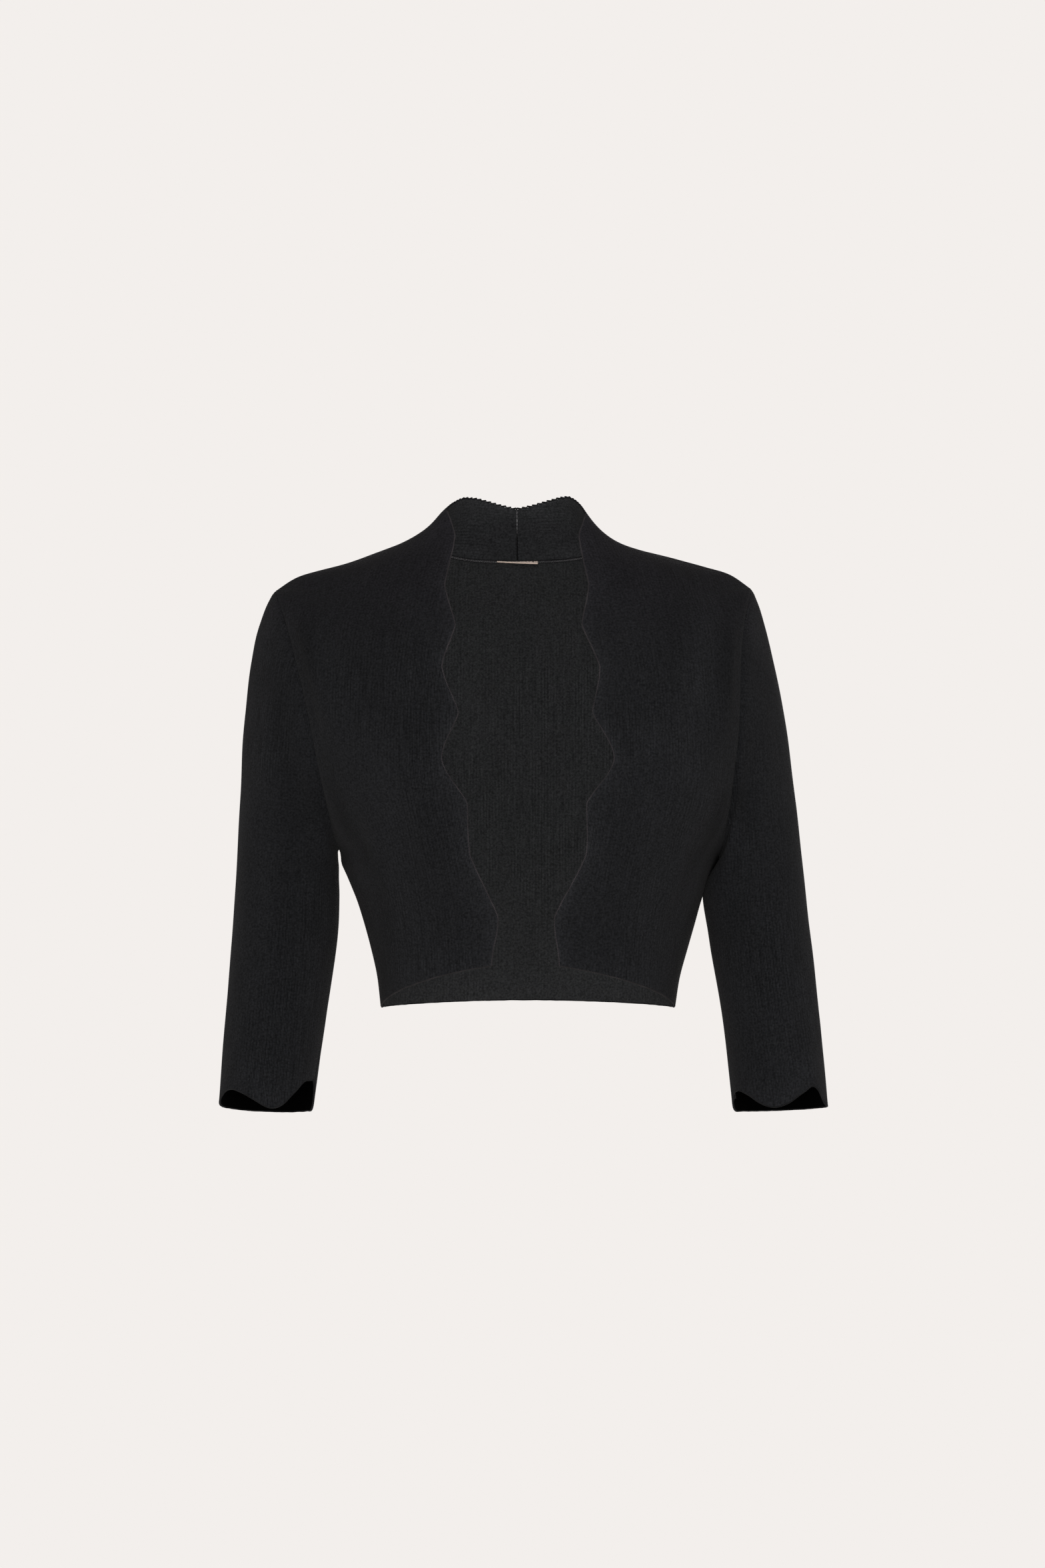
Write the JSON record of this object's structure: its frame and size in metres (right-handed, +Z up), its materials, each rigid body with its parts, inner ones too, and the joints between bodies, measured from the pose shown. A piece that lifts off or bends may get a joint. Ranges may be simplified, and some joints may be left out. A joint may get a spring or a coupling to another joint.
{
  "type": "cropped cardigan",
  "caption": "Cropped open-front cardigan in fine rib knit, its standing collar cut in one with the scalloped fronts, with cropped sleeves, in the hollow shape of being worn.",
  "frame": {"origin": "midway between the two neck points, where the shoulder seams meet the collar", "axes": "+Z up along the standing wearer, the front faces -Y, the wearer's left is +X"},
  "size_m": [0.4957, 0.2172, 0.5091],
  "materials": {
    "rib_knit": "black fine rib knit, matt with a soft sheen at grazing angles",
    "label": "plain black woven satin tape with a pale woven top edge"
  },
  "bodies": {
    "root": {"back": "rib_knit", "front_right": "rib_knit", "front_left": "rib_knit", "sleeve_right": "rib_knit", "sleeve_left": "rib_knit", "neck_label": "label"}
  },
  "joints": []
}
